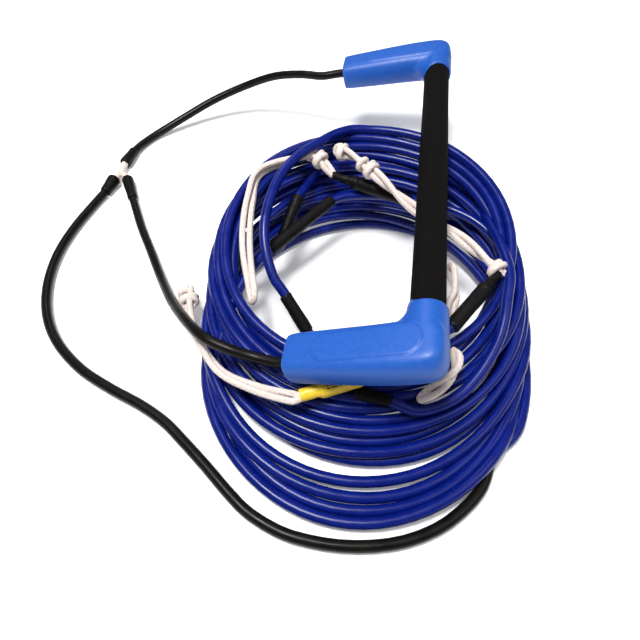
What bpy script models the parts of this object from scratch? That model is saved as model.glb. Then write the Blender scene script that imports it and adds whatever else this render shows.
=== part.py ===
"""Barefoot-ski tow rope handle lying on its own loosely coiled line.

Metres, +Z up.  The row frame has its origin at the centre of the handle's box (grip, bar and end
caps), with +Y along the bar.  Inside this script a place is written as (x, y, h): x and y from the
middle of the bar's axis and h above the surface that the coil lies on; place() turns it into the
row frame.
"""

import math

import bmesh
import bpy
from mathutils import Matrix, Vector

# ---- Driving dimensions ------------------------------------------------------------------------
BAR_HEIGHT = 0.100  # bar axis above the surface
BAR_MIDDLE = 0.0065  # y of the bar's middle
BAR_OFFSET = Vector((0.045362, 0.0, 0.018838))  # bar axis from the centre of the handle's box
LINE_SPACING = 0.391  # rope to rope across the two elbows
NEAR_DROOP = math.radians(24)  # how far each cap hangs below the bar
FAR_DROOP = math.radians(12.5)

GRIP_RADIUS = 0.0135
GRIP_HALF_LENGTH = 0.1735
TUBE_RADIUS = 0.0095
TUBE_WALL = 0.0015
TUBE_HALF_LENGTH = 0.1815
BUSH_RADIUS = 0.0077
BUSH_BORE = 0.0050
BUSH_LENGTH = 0.018
BUSH_FLANGE = 0.0025
CLEARANCE = 0.0004

CAP_REACH = 0.108  # bar axis to mouth
MOUTH_Y = 0.1985  # where the line leaves a cap
COLLAR_RADIUS = 0.0155
COLLAR_START = 0.1645
GRIP_SOCKET_END = 0.1745
TUBE_SOCKET_END = 0.1850
ELBOW_BEND = 0.011

CORE_RADIUS = 0.0038
CHANNEL_RADIUS = 0.0054
LINE_RADIUS = 0.00475  # black and blue coated line
CORD_RADIUS = 0.0030  # white braid of the take-off loops
LINE_IN_MOUTH = 0.022

RING_SEGMENTS = 56
TUBE_SIDES = 28

# Cap sections from the elbow's outside to the mouth:
# x from the bar axis, half width, half thickness, distance of its middle from the bar's middle.
CAP_SECTIONS = (
    (0.0160, 0.00950, 0.0045, 0.19850),
    (0.0145, 0.01500, 0.0092, 0.19900),
    (0.0105, 0.01975, 0.0132, 0.19925),
    (0.0055, 0.02250, 0.0152, 0.19930),
    (0.0000, 0.02330, 0.0158, 0.19950),
    (-0.0150, 0.02330, 0.0158, 0.19970),
    (-0.0350, 0.02170, 0.0153, 0.20010),
    (-0.0550, 0.02010, 0.0146, 0.20000),
    (-0.0750, 0.01805, 0.0138, 0.19915),
    (-0.0930, 0.01645, 0.0129, 0.19815),
    (-0.1030, 0.01540, 0.0124, 0.19760),
    (-0.1065, 0.01450, 0.0117, 0.19750),
    (-0.1080, 0.01280, 0.0105, 0.19760),
)
SECTION_POINTS = 28
SECTION_POWER = 2.7

# Coil solids: middle (x, y, h), outer radius, band width, thickness, and the tilt about X that
# lifts the far side.
COILS = {
    "lower_coil": ((-0.052, -0.138, 0.0070), 0.155, 0.040, 0.0140, 0.0),
    "middle_coil": ((-0.058, -0.100, 0.0287), 0.140, 0.038, 0.0138, 0.070),
    "upper_coil": ((-0.062, -0.056, 0.0552), 0.128, 0.036, 0.0138, 0.1645),
}
COIL_EDGE = 0.005

# Routes of the free lines, as (x, y, h), from just outside a mouth or a sleeve.
NEAR_LEG = (
    (-0.131, -0.1890, 0.0490),
    (-0.153, -0.1870, 0.0535),
    (-0.176, -0.1790, 0.0540),
    (-0.200, -0.1580, 0.0440),
    (-0.226, -0.1290, 0.0280),
    (-0.255, -0.0900, 0.0120),
    (-0.282, -0.0510, 0.0058),
    (-0.303, -0.0210, 0.0052),
    (-0.3175, 0.0022, 0.0052),
    (-0.3290, 0.0212, 0.0062),
)
FAR_LEG = (
    (-0.1360, 0.2050, 0.0700),
    (-0.1640, 0.2110, 0.0665),
    (-0.2000, 0.2160, 0.0580),
    (-0.2400, 0.2150, 0.0420),
    (-0.2800, 0.1990, 0.0280),
    (-0.3150, 0.1750, 0.0150),
    (-0.3440, 0.1480, 0.0060),
    (-0.3560, 0.1250, 0.0055),
    (-0.3605, 0.1085, 0.0062),
)
TRUNK = (
    (-0.3665, 0.0265, 0.0062),
    (-0.3710, 0.0080, 0.0052),
    (-0.3770, -0.0330, 0.0052),
    (-0.3770, -0.0740, 0.0052),
    (-0.3680, -0.1140, 0.0052),
    (-0.3510, -0.1490, 0.0052),
    (-0.3270, -0.1770, 0.0052),
    (-0.2940, -0.2000, 0.0052),
    (-0.2590, -0.2150, 0.0052),
    (-0.2270, -0.2260, 0.0052),
    (-0.2010, -0.2380, 0.0052),
    (-0.1800, -0.2520, 0.0052),
    (-0.1560, -0.2690, 0.0052),
    (-0.1320, -0.2870, 0.0052),
    (-0.1130, -0.2990, 0.0052),
    (-0.0880, -0.3080, 0.0052),
    (-0.0650, -0.3110, 0.0052),
    (-0.0390, -0.3105, 0.0052),
    (-0.0130, -0.3060, 0.0052),
    (0.0100, -0.2980, 0.0052),
    (0.0320, -0.2850, 0.0052),
    (0.0500, -0.2680, 0.0052),
)
DROP_LINE = (
    (-0.1310, 0.0140, 0.0925),
    (-0.1410, -0.0090, 0.0900),
    (-0.1460, -0.0350, 0.0850),
    (-0.1470, -0.0630, 0.0765),
    (-0.1420, -0.0860, 0.0660),
    (-0.1320, -0.1060, 0.0535),
    (-0.1205, -0.1165, 0.0452),
)
# Sleeves: thick end, thin end, their two radii and the look.
SLEEVES = {
    "y_trunk_sleeve": ((-0.3628, 0.0500, 0.0085), (-0.3660, 0.0275, 0.0068), 0.0074, 0.0060, "black_shrink"),
    "y_near_sleeve": ((-0.3480, 0.0530, 0.0078), (-0.3296, 0.0222, 0.0066), 0.0066, 0.0058, "black_shrink"),
    "y_far_sleeve": ((-0.3622, 0.0800, 0.0078), (-0.3607, 0.1074, 0.0066), 0.0066, 0.0058, "black_shrink"),
    "far_loop_sleeve": ((-0.0150, 0.0100, 0.0560), (-0.0960, 0.0170, 0.0730), 0.0066, 0.0040, "black_shrink"),
    "left_wall_sleeve": ((-0.1430, -0.0700, 0.0480), (-0.0935, 0.0000, 0.0550), 0.0066, 0.0060, "black_shrink"),
    "ribbed_sleeve": ((-0.1270, -0.0040, 0.0590), (-0.1395, -0.0560, 0.0350), 0.0062, 0.0052, "black_shrink"),
    "right_sleeve": ((0.0260, -0.1420, 0.0590), (0.0640, -0.0860, 0.0690), 0.0066, 0.0040, "black_shrink"),
    "drop_sleeve": ((-0.0950, -0.1400, 0.0220), (-0.1190, -0.1185, 0.0436), 0.0062, 0.0058, "black_shrink"),
    "under_sleeve": ((-0.0450, -0.2010, 0.0355), (-0.0160, -0.2052, 0.0362), 0.0060, 0.0052, "black_shrink"),
    "warning_sleeve": ((0.0260, -0.1610, 0.0535), (-0.0880, -0.2150, 0.0440), 0.0072, 0.0062, "yellow_shrink"),
}
# White loops: the way along their middle, and half the distance between the two strands.
LOOPS = {
    "crossing_loop": (
        (
            (0.0600, -0.0780, 0.0700),
            (0.0230, -0.0430, 0.0715),
            (-0.0120, -0.0230, 0.0760),
            (-0.0450, 0.0060, 0.0810),
            (-0.0720, 0.0300, 0.0850),
            (-0.0920, 0.0400, 0.0855),
        ),
        0.0034,
    ),
    "left_loop": (
        (
            (-0.1020, 0.0290, 0.0820),
            (-0.1220, 0.0300, 0.0830),
            (-0.1650, 0.0050, 0.0790),
            (-0.1690, -0.0300, 0.0730),
            (-0.1620, -0.0800, 0.0640),
            (-0.1440, -0.1330, 0.0560),
        ),
        0.0034,
    ),
    "warning_loop": (
        (
            (-0.0930, -0.2172, 0.0435),
            (-0.1250, -0.2120, 0.0400),
            (-0.1580, -0.2000, 0.0380),
            (-0.1850, -0.1720, 0.0360),
            (-0.2060, -0.1380, 0.0270),
            (-0.2160, -0.1130, 0.0220),
        ),
        0.0034,
    ),
    "short_loop": (
        (
            (0.0260, -0.1190, 0.0590),
            (0.0290, -0.1080, 0.0600),
            (0.0280, -0.0960, 0.0620),
        ),
        0.0034,
    ),
    "tail_loop": (
        (
            (0.0360, -0.1690, 0.0530),
            (0.0340, -0.1800, 0.0500),
            (0.0220, -0.1920, 0.0460),
            (0.0080, -0.2060, 0.0400),
        ),
        0.0034,
    ),
}


def place(x, y, h):
    """(x, y, h) in the row frame."""
    return BAR_OFFSET + Vector((x, y - BAR_MIDDLE, h - BAR_HEIGHT))


FLOOR_Z = place(0, 0, 0).z


# ---- Small tools -------------------------------------------------------------------------------
def clear_scene():
    for obj in list(bpy.data.objects):
        bpy.data.objects.remove(obj, do_unlink=True)


def new_collection(name):
    made = bpy.data.collections.new(name)
    bpy.context.scene.collection.children.link(made)
    return made


def material(name, colour, roughness, metallic=0.0):
    made = bpy.data.materials.new(name)
    made.use_nodes = True
    shader = made.node_tree.nodes["Principled BSDF"]
    shader.inputs["Base Color"].default_value = (*colour, 1.0)
    shader.inputs["Roughness"].default_value = roughness
    shader.inputs["Metallic"].default_value = metallic
    return made


def mesh_object(name, bm, where, look=None):
    mesh = bpy.data.meshes.new(name)
    bmesh.ops.recalc_face_normals(bm, faces=bm.faces)
    bm.to_mesh(mesh)
    bm.free()
    obj = bpy.data.objects.new(name, mesh)
    where.objects.link(obj)
    if look:
        mesh.materials.append(look)
    mesh.shade_smooth()
    mesh.set_sharp_from_angle(angle=math.radians(40))
    return obj


def cut(target, cutter):
    """Boolean difference with a cutter that stays hidden."""
    cutter.hide_render = True
    cutter.display_type = "WIRE"
    modifier = target.modifiers.new("cut_" + cutter.name, "BOOLEAN")
    modifier.operation = "DIFFERENCE"
    modifier.object = cutter


def join(target, other):
    other.hide_render = True
    other.display_type = "WIRE"
    modifier = target.modifiers.new("join_" + other.name, "BOOLEAN")
    modifier.operation = "UNION"
    modifier.object = other


def smooth_route(points, spacing):
    """Points about spacing apart on a Catmull-Rom curve through the route's own points."""
    own = [Vector(p) for p in points]
    ends = [own[0] * 2 - own[1], *own, own[-1] * 2 - own[-2]]
    made = [own[0]]
    for a, b, c, d in zip(ends, ends[1:], ends[2:], ends[3:]):
        steps = max(1, round((c - b).length / spacing))
        for i in range(1, steps + 1):
            t = i / steps
            made.append(
                0.5 * (2 * b + (c - a) * t + (2 * a - 5 * b + 4 * c - d) * t**2 + (3 * b - a - 3 * c + d) * t**3)
            )
    return made


def poly_curve(name, points, radius, where, radii=None, sides=2):
    """A round bar along points, with filled caps; radii scales it point by point."""
    data = bpy.data.curves.new(name, "CURVE")
    data.dimensions = "3D"
    data.bevel_depth = radius
    data.bevel_resolution = sides
    data.use_fill_caps = True
    spline = data.splines.new("POLY")
    spline.points.add(len(points) - 1)
    for i, p in enumerate(points):
        spline.points[i].co = (*p, 1.0)
        spline.points[i].radius = radii[i] if radii else 1.0
    obj = bpy.data.objects.new(name, data)
    where.objects.link(obj)
    return obj


def free_line(name, route, radius, look, sides=2):
    """A cord's solid along its route in the row frame."""
    points = smooth_route(route, 2.4 * 2 * radius)
    obj = poly_curve(name, points, radius, parts, sides=sides)
    obj.data.materials.append(look)
    return obj


def as_mesh(curve_obj):
    """The curve's tube as a closed mesh, so that it can cut."""
    bpy.context.view_layer.update()
    found = bpy.data.meshes.new_from_object(curve_obj.evaluated_get(bpy.context.evaluated_depsgraph_get()))
    bm = bmesh.new()
    bm.from_mesh(found)
    bmesh.ops.remove_doubles(bm, verts=bm.verts, dist=1e-6)
    bmesh.ops.recalc_face_normals(bm, faces=bm.faces)
    bm.to_mesh(found)
    bm.free()
    name, where = curve_obj.name, curve_obj.users_collection[0]
    matrix = curve_obj.matrix_world.copy()
    bpy.data.objects.remove(curve_obj)
    obj = bpy.data.objects.new(name, found)
    obj.matrix_world = matrix
    where.objects.link(obj)
    return obj


def turned(name, profile, look=None, steps=TUBE_SIDES):
    """A profile of (radius, along) pairs turned about Z.

    It runs down its outer side.  One that starts and ends on the axis makes a solid body, and any
    other is closed and makes a hollow one.
    """
    bm = bmesh.new()
    verts = [bm.verts.new((r, 0.0, along)) for r, along in profile]
    solid = profile[0][0] == 0.0
    for a, b in zip(verts, verts[1:] if solid else verts[1:] + verts[:1]):
        bm.edges.new((a, b))
    mesh = bpy.data.meshes.new(name)
    bm.to_mesh(mesh)
    bm.free()
    if look:
        mesh.materials.append(look)
    obj = bpy.data.objects.new(name, mesh)
    (parts if look else helpers).objects.link(obj)
    screw = obj.modifiers.new("turn", "SCREW")
    screw.steps = screw.render_steps = steps
    screw.use_merge_vertices = True
    screw.merge_threshold = 0.00001
    screw.use_smooth_shade = True
    return obj


def on_bar(obj):
    """Lays a turned piece along the bar, on the axis that it turns about."""
    obj.parent = bar_axis
    obj.rotation_euler = (-math.pi / 2, 0.0, 0.0)
    return obj


# ---- Looks -------------------------------------------------------------------------------------
def make_looks():
    return {
        "blue_rubber": material("blue_rubber", (0.035, 0.22, 0.72), 0.45),
        "black_foam": material("black_foam", (0.012, 0.012, 0.012), 0.9),
        "bar_aluminium": material("bar_aluminium", (0.75, 0.76, 0.78), 0.35, 1.0),
        "white_nylon": material("white_nylon", (0.82, 0.82, 0.80), 0.5),
        "white_braid": material("white_braid", (0.84, 0.80, 0.76), 0.85),
        "black_line": material("black_line", (0.015, 0.013, 0.012), 0.28),
        "black_shrink": material("black_shrink", (0.02, 0.018, 0.018), 0.42),
        "blue_line": material("blue_line", (0.01, 0.04, 0.38), 0.25),
        "yellow_shrink": material("yellow_shrink", (0.86, 0.60, 0.03), 0.4),
    }


# ---- Bar: grip, tube and the two bushes that the rope runs over ---------------------------------
def make_grip():
    bore = TUBE_RADIUS + CLEARANCE
    edge = 0.0015
    return on_bar(
        turned(
            "grip_sleeve",
            [
                (GRIP_RADIUS - edge, GRIP_HALF_LENGTH),
                (GRIP_RADIUS, GRIP_HALF_LENGTH - edge),
                (GRIP_RADIUS, -GRIP_HALF_LENGTH + edge),
                (GRIP_RADIUS - edge, -GRIP_HALF_LENGTH),
                (bore, -GRIP_HALF_LENGTH),
                (bore, GRIP_HALF_LENGTH),
            ],
            looks["black_foam"],
        )
    )


def make_tube():
    bore = TUBE_RADIUS - TUBE_WALL
    ends = TUBE_HALF_LENGTH
    return on_bar(
        turned(
            "bar_tube",
            [(TUBE_RADIUS, ends), (TUBE_RADIUS, -ends), (bore, -ends), (bore, ends)],
            looks["bar_aluminium"],
        )
    )


def make_bush(name, side):
    """A flanged nylon bush in one end of the tube, with a rounded lip where the rope turns."""
    face = side * (TUBE_HALF_LENGTH + CLEARANCE)
    top = face + side * BUSH_FLANGE
    lip = 0.0012
    profile = [
        (BUSH_BORE + lip, top),
        (TUBE_RADIUS - lip, top),
        (TUBE_RADIUS, top - side * lip),
        (TUBE_RADIUS, face),
        (BUSH_RADIUS, face),
        (BUSH_RADIUS, face - side * BUSH_LENGTH),
        (BUSH_BORE, face - side * BUSH_LENGTH),
        (BUSH_BORE, top - side * lip),
    ]
    return on_bar(turned(name, profile if side > 0 else profile[::-1], looks["white_nylon"]))


# ---- End caps ----------------------------------------------------------------------------------
def section_loop(bm, side, x, half_width, half_thickness, middle, filled):
    """One rounded cross-section of a cap at x, as a loop of edges."""
    made = bmesh.ops.create_circle(bm, cap_ends=filled, segments=SECTION_POINTS, radius=1.0)
    for vert in made["verts"]:
        c, s = vert.co.x, vert.co.y
        y = middle + half_width * math.copysign(abs(c) ** (2 / SECTION_POWER), c)
        z = half_thickness * math.copysign(abs(s) ** (2 / SECTION_POWER), s)
        vert.co = (x, side * y, z)
    return list({edge for vert in made["verts"] for edge in vert.link_edges})


def line_path(side, mouth_gap):
    """The rope's way from the middle of the bar, round the elbow, to mouth_gap inside a cap's mouth."""
    elbow_y = LINE_SPACING / 2
    start = Vector((0.0, side * (elbow_y - ELBOW_BEND), 0.0))
    bend = [
        Vector((ELBOW_BEND * (math.cos(a) - 1), side * (elbow_y - ELBOW_BEND * (1 - math.sin(a))), 0.0))
        for a in (math.pi / 2 * i / 8 for i in range(1, 9))
    ]
    last = bend[-1]
    mouth = Vector((-CAP_REACH, side * MOUTH_Y, 0.0))
    stop = mouth + (last - mouth).normalized() * mouth_gap
    return [start, *bend, stop]


def make_cap(name, side):
    """A moulded rubber elbow: collar over the grip, socket for the tube, channel for the line."""
    bm = bmesh.new()
    ends = (CAP_SECTIONS[0], CAP_SECTIONS[-1])
    loops = [section_loop(bm, side, *section, section in ends) for section in CAP_SECTIONS]
    for a, b in zip(loops, loops[1:]):
        bmesh.ops.bridge_loops(bm, edges=a + b)
    body = mesh_object(name, bm, parts, looks["blue_rubber"])
    body.parent = cap_axes[side]

    inner = COLLAR_START
    collar = turned(
        name + "_collar",
        [
            (0.0, side * (LINE_SPACING / 2 + 0.004)),
            (COLLAR_RADIUS, side * (LINE_SPACING / 2 + 0.004)),
            (COLLAR_RADIUS, side * (inner + 0.0015)),
            (COLLAR_RADIUS - 0.0015, side * inner),
            (0.0, side * inner),
        ][::side],
    )
    socket = turned(
        name + "_socket",
        [
            (0.0, side * TUBE_SOCKET_END),
            (TUBE_RADIUS + CLEARANCE, side * TUBE_SOCKET_END),
            (TUBE_RADIUS + CLEARANCE, side * GRIP_SOCKET_END),
            (GRIP_RADIUS + CLEARANCE, side * GRIP_SOCKET_END),
            (GRIP_RADIUS + CLEARANCE, side * (inner - 0.01)),
            (0.0, side * (inner - 0.01)),
        ][::side],
    )
    for piece in (collar, socket):
        piece.parent = cap_axes[side]
        piece.rotation_euler = (-math.pi / 2, 0.0, 0.0)
    way = line_path(side, -0.01)
    channel = poly_curve(name + "_channel", [way[0] - Vector((0, side * 0.006, 0)), *way], CHANNEL_RADIUS, helpers)
    channel = as_mesh(channel)
    channel.parent = cap_axes[side]
    join(body, collar)
    cut(body, socket)
    cut(body, channel)
    return body


def drooped(side, point):
    """A point of a level cap, turned down with that cap, in the row frame."""
    droop = FAR_DROOP if side > 0 else NEAR_DROOP
    return BAR_OFFSET + Matrix.Rotation(-droop, 4, "Y") @ point


def make_core_rope():
    """The uncoated rope that runs through both caps and the tube in one length."""
    far = [drooped(1, p) for p in line_path(1, LINE_IN_MOUTH + 0.001)]
    near = [drooped(-1, p) for p in line_path(-1, LINE_IN_MOUTH + 0.001)]
    rope = poly_curve("core_rope", [*near[::-1], *far], CORE_RADIUS, parts)
    rope.data.materials.append(looks["white_nylon"])
    return rope


# ---- Coated lines, splice sleeves and white take-off loops -------------------------------------
def leg_route(side, route):
    """From inside a cap's mouth straight out of it, and on along the route, in the row frame."""
    last, stop = line_path(side, LINE_IN_MOUTH)[-2:]
    outside = line_path(side, -0.012)[-1]
    mouth = line_path(side, 0.0)[-1]
    return [*(drooped(side, p) for p in (stop, mouth, outside)), *(place(*p) for p in route)]


def sleeve(name, start, end, big, small, look, bulge=0.0):
    """A shrink sleeve over a splice: full at one end, tapered at the other."""
    a, b = place(*start), place(*end)
    shares = (0.0, 0.04, 0.3, 0.55, 0.8, 0.96, 1.0)
    radii = [0.86, 1.0, 1.0 + bulge, 1.0, (1 + small / big) / 2, small / big, 0.86 * small / big]
    points = [a.lerp(b, t) for t in shares]
    obj = poly_curve(name, points, big, parts, radii, sides=4)
    obj.data.materials.append(look)
    return obj


def loop_route(middle, spread):
    """Out along one side of middle, round its end and back along the other side."""
    own = [Vector(p) for p in middle]
    out, back = [], []
    for i, p in enumerate(own):
        along = own[min(i + 1, len(own) - 1)] - own[max(i - 1, 0)]
        across = Vector((-along.y, along.x, 0.0)).normalized() * spread
        out.append(p + across)
        back.append(p - across)
    tip = own[-1] + (own[-1] - own[-2]).normalized() * spread * 1.6
    return [tuple(p) for p in [*out, tip, *back[::-1]]]


def make_lines():
    free_line("near_leg", leg_route(-1, NEAR_LEG), LINE_RADIUS, looks["black_line"])
    free_line("far_leg", leg_route(1, FAR_LEG), LINE_RADIUS, looks["black_line"])
    free_line("trunk_line", [place(*p) for p in TRUNK], LINE_RADIUS, looks["black_line"])
    free_line("drop_line", [place(*p) for p in DROP_LINE], LINE_RADIUS, looks["blue_line"])
    core = [place(-0.3617, 0.0510, 0.0085), place(-0.3612, 0.0650, 0.0080), place(-0.3620, 0.0790, 0.0078)]
    poly_curve("y_core", core, 0.0040, parts).data.materials.append(looks["white_braid"])
    for name, (start, end, big, small, look) in SLEEVES.items():
        sleeve(name, start, end, big, small, looks[look])
    for name, (middle, spread) in LOOPS.items():
        route = [place(*p) for p in loop_route(middle, spread)]
        free_line(name, route, CORD_RADIUS, looks["white_braid"])


def make_coil(name, values):
    """The outer shape of one coiled section of line: a turned ring, tilted to lie on the last."""
    middle, outer, band, thickness, tilt = values
    e = COIL_EDGE
    inner = outer - band
    top = thickness / 2
    profile = [
        (outer - e, top),
        (outer, top - e),
        (outer, -top + e),
        (outer - e, -top),
        (inner + e, -top),
        (inner, -top + e),
        (inner, top - e),
        (inner + e, top),
    ]
    ring = turned(name, profile, looks["blue_line"], steps=RING_SEGMENTS)
    ring.location = place(*middle)
    ring.rotation_euler = (tilt, 0.0, 0.0)
    return ring


# ---- The object --------------------------------------------------------------------------------
clear_scene()
parts = new_collection("tow_rope_handle")
helpers = new_collection("cutters")
looks = make_looks()

bar_axis = bpy.data.objects.new("bar_axis", None)
cap_axes = {
    -1: bpy.data.objects.new("near_cap_axis", None),
    1: bpy.data.objects.new("far_cap_axis", None),
}
for axis in (bar_axis, *cap_axes.values()):
    helpers.objects.link(axis)
    axis.location = BAR_OFFSET
cap_axes[-1].rotation_euler = (0.0, -NEAR_DROOP, 0.0)
cap_axes[1].rotation_euler = (0.0, -FAR_DROOP, 0.0)
bpy.context.view_layer.update()

make_grip()
make_tube()
make_bush("near_tube_bush", -1)
make_bush("far_tube_bush", 1)
make_cap("near_cap", -1)
make_cap("far_cap", 1)
make_core_rope()
make_lines()
for coil_name, coil_values in COILS.items():
    make_coil(coil_name, coil_values)
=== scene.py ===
"""Looks for the barefoot tow rope handle: rubber elbow caps, foam grip, coated line and braid.

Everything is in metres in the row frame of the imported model.  place() turns (x, y, h) into that
frame: x and y from the middle of the bar, h above the floor that the coil lies on.
"""

import math

import bmesh
import bpy
import numpy as np
from mathutils import Matrix, Vector


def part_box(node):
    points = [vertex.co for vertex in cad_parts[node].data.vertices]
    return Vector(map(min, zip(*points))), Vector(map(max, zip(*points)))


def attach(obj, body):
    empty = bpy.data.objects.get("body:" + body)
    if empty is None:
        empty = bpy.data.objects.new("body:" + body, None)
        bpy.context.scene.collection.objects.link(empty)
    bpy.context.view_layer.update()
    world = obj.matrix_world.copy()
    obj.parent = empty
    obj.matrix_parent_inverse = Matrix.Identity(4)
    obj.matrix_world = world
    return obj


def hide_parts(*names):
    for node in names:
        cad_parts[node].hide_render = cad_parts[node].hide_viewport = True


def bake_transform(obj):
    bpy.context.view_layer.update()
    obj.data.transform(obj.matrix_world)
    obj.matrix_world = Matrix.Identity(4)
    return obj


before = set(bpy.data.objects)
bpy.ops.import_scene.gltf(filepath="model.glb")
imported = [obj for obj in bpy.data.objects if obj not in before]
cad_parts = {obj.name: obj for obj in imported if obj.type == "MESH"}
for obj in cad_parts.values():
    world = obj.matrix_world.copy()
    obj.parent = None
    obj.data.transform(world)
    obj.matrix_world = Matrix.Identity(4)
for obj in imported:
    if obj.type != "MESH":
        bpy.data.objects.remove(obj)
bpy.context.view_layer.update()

# ---- Sizes that part.py also holds ------------------------------------------------------------
BAR_HEIGHT = 0.100  # bar axis above the floor
BAR_MIDDLE = 0.0065  # y of the bar's middle
GRIP_LOW, GRIP_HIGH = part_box("grip_sleeve")
TUBE_LOW, TUBE_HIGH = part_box("bar_tube")
BAR_X = (GRIP_LOW.x + GRIP_HIGH.x) / 2
BAR_Z = (GRIP_LOW.z + GRIP_HIGH.z) / 2
GRIP_RADIUS = (GRIP_HIGH.z - GRIP_LOW.z) / 2
GRIP_END = GRIP_HIGH.y
TUBE_RADIUS = (TUBE_HIGH.z - TUBE_LOW.z) / 2
TUBE_END = TUBE_HIGH.y
TUBE_WALL = 0.0015
BUSH_RADIUS = 0.0077
BUSH_BORE = 0.0050
BUSH_LENGTH = 0.018
BUSH_FLANGE = 0.0025
CLEARANCE = 0.0004
NEAR_DROOP = math.radians(24)  # how far each cap hangs below the bar
FAR_DROOP = math.radians(12.5)
CAP_REACH = 0.108  # bar axis to mouth
MOUTH_Y = 0.1985  # where the line leaves a cap
LINE_SPACING = 0.391  # rope to rope across the two elbows
ELBOW_BEND = 0.011
COLLAR_START = 0.1645
COLLAR_RADIUS = 0.0155
GRIP_SOCKET_END = 0.1745
TUBE_SOCKET_END = 0.1850
CHANNEL_RADIUS = 0.0054
LINE_IN_MOUTH = 0.022
LINE_RADIUS = 0.00475  # black and blue coated line
CORD_RADIUS = 0.0030  # white braid of the loops
CORE_RADIUS = 0.0038

# ---- Camera and light -------------------------------------------------------------------------
CAMERA_HEIGHT = 0.393
CAMERA_BACK = Vector((-0.0457, -0.3823))
CAMERA_PITCH = math.radians(55)
CAMERA_TURN = math.radians(8.9)
LENS = 27.56
FLOOR_GLOW = 0.16
STUDIO_LIGHT = 0.22
LAMP_TARGET = Vector((0.0, 0.0, -0.05))
# Where each lamp is, its size and its power.
LAMPS = {
    "key": ((-0.35, -0.25, 1.5), 0.45, 34.0),
    "fill": ((1.0, -0.2, 1.3), 0.9, 5.0),
    "strip": ((-0.5, 1.0, 1.2), 0.5, 3.0),
}

# ---- Routes, given in place()'s x, y and h ----------------------------------------------------
NEAR_LEG = (
    (-0.131, -0.1890, 0.0490),
    (-0.153, -0.1870, 0.0535),
    (-0.176, -0.1790, 0.0540),
    (-0.200, -0.1580, 0.0440),
    (-0.226, -0.1290, 0.0280),
    (-0.255, -0.0900, 0.0120),
    (-0.282, -0.0510, 0.0058),
    (-0.303, -0.0210, 0.0052),
    (-0.3175, 0.0022, 0.0052),
    (-0.3290, 0.0212, 0.0062),
)
FAR_LEG = (
    (-0.1360, 0.2050, 0.0700),
    (-0.1640, 0.2110, 0.0665),
    (-0.2000, 0.2160, 0.0580),
    (-0.2400, 0.2150, 0.0420),
    (-0.2800, 0.1990, 0.0280),
    (-0.3150, 0.1750, 0.0150),
    (-0.3440, 0.1480, 0.0060),
    (-0.3560, 0.1250, 0.0055),
    (-0.3605, 0.1085, 0.0062),
)
TRUNK = (
    (-0.3665, 0.0265, 0.0062),
    (-0.3710, 0.0080, 0.0052),
    (-0.3770, -0.0330, 0.0052),
    (-0.3770, -0.0740, 0.0052),
    (-0.3680, -0.1140, 0.0052),
    (-0.3510, -0.1490, 0.0052),
    (-0.3270, -0.1770, 0.0052),
    (-0.2940, -0.2000, 0.0052),
    (-0.2590, -0.2150, 0.0052),
    (-0.2270, -0.2260, 0.0052),
    (-0.2010, -0.2380, 0.0052),
    (-0.1800, -0.2520, 0.0052),
    (-0.1560, -0.2690, 0.0052),
    (-0.1320, -0.2870, 0.0052),
    (-0.1130, -0.2990, 0.0052),
    (-0.0880, -0.3080, 0.0052),
    (-0.0650, -0.3110, 0.0052),
    (-0.0390, -0.3105, 0.0052),
    (-0.0130, -0.3060, 0.0052),
    (0.0100, -0.2980, 0.0052),
    (0.0320, -0.2850, 0.0052),
    (0.0500, -0.2680, 0.0052),
)

DROP_LINE = (
    (-0.1310, 0.0140, 0.0925),
    (-0.1410, -0.0090, 0.0900),
    (-0.1460, -0.0350, 0.0850),
    (-0.1470, -0.0630, 0.0765),
    (-0.1420, -0.0860, 0.0660),
    (-0.1320, -0.1060, 0.0535),
    (-0.1205, -0.1165, 0.0452),
)
Y_CORE = ((-0.3617, 0.0510, 0.0085), (-0.3612, 0.0650, 0.0080), (-0.3620, 0.0790, 0.0078))
Y_BRANCH = ((-0.3600, 0.0630, 0.0084), (-0.3545, 0.0590, 0.0082), (-0.3485, 0.0540, 0.0079))
# Black sleeves: thick end, thin end, their two radii, and whether the thin end is a stepped neck.
SLEEVES = {
    "y_trunk_sleeve": ((-0.3628, 0.0500, 0.0085), (-0.3660, 0.0275, 0.0068), 0.0074, 0.0060, False),
    "y_near_sleeve": ((-0.3480, 0.0530, 0.0078), (-0.3296, 0.0222, 0.0066), 0.0066, 0.0058, False),
    "y_far_sleeve": ((-0.3622, 0.0800, 0.0078), (-0.3607, 0.1074, 0.0066), 0.0066, 0.0058, False),
    "far_loop_sleeve": ((-0.0150, 0.0100, 0.0560), (-0.0960, 0.0170, 0.0730), 0.0066, 0.0040, True),
    "left_wall_sleeve": ((-0.1430, -0.0700, 0.0480), (-0.0935, 0.0000, 0.0550), 0.0066, 0.0060, False),
    "ribbed_sleeve": ((-0.1270, -0.0040, 0.0590), (-0.1395, -0.0560, 0.0350), 0.0062, 0.0052, False),
    "right_sleeve": ((0.0260, -0.1420, 0.0590), (0.0640, -0.0860, 0.0690), 0.0066, 0.0040, True),
    "drop_sleeve": ((-0.0950, -0.1400, 0.0220), (-0.1190, -0.1185, 0.0436), 0.0062, 0.0058, False),
    "under_sleeve": ((-0.0450, -0.2010, 0.0355), (-0.0160, -0.2052, 0.0362), 0.0060, 0.0052, False),
}
WARNING_SLEEVE = ((0.0260, -0.1610, 0.0535), (-0.0880, -0.2150, 0.0440))
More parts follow.
